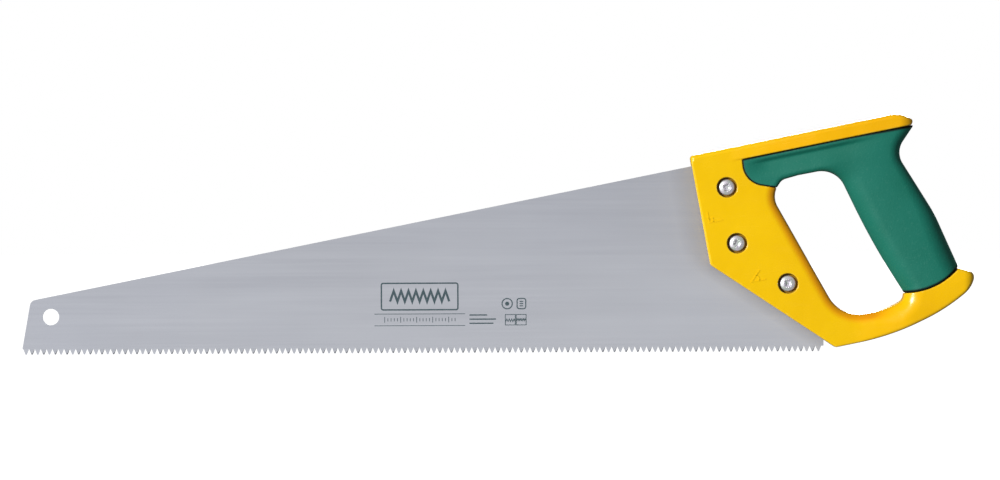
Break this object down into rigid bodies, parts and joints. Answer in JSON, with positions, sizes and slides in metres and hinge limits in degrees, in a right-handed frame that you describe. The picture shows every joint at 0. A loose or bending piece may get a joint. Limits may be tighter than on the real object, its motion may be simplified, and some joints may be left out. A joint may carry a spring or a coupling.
{
  "type": "hand saw",
  "caption": "Hand saw with a tapered toothed steel blade, hung by a hole at the toe, screwed into a closed two-tone plastic pistol handle.",
  "frame": {"origin": "under the middle of the saw's length, level with the tooth tips, in the blade's middle plane", "axes": "+X along the tooth line from the toe to the handle, +Y through the thickness, away from the screw heads, +Z from the tooth tips towards the blade's back"},
  "size_m": [0.5952, 0.03, 0.1485],
  "materials": {
    "blade_steel": "satin rolled and ground, pale bluish grey",
    "handle_plastic": "glossy moulded golden yellow",
    "grip_rubber": "soft overmould, matte blue-green",
    "fastener_zinc": "bright zinc plating",
    "blade_print": "thin dark grey-green printed marking"
  },
  "bodies": {
    "root": {"blade": "blade_steel", "handle_frame": "handle_plastic", "grip_sleeve": "grip_rubber", "screw_upper": "fastener_zinc", "screw_middle": "fastener_zinc", "screw_lower": "fastener_zinc", "sleeve_nut_upper": "fastener_zinc", "sleeve_nut_middle": "fastener_zinc", "sleeve_nut_lower": "fastener_zinc"}
  },
  "joints": []
}
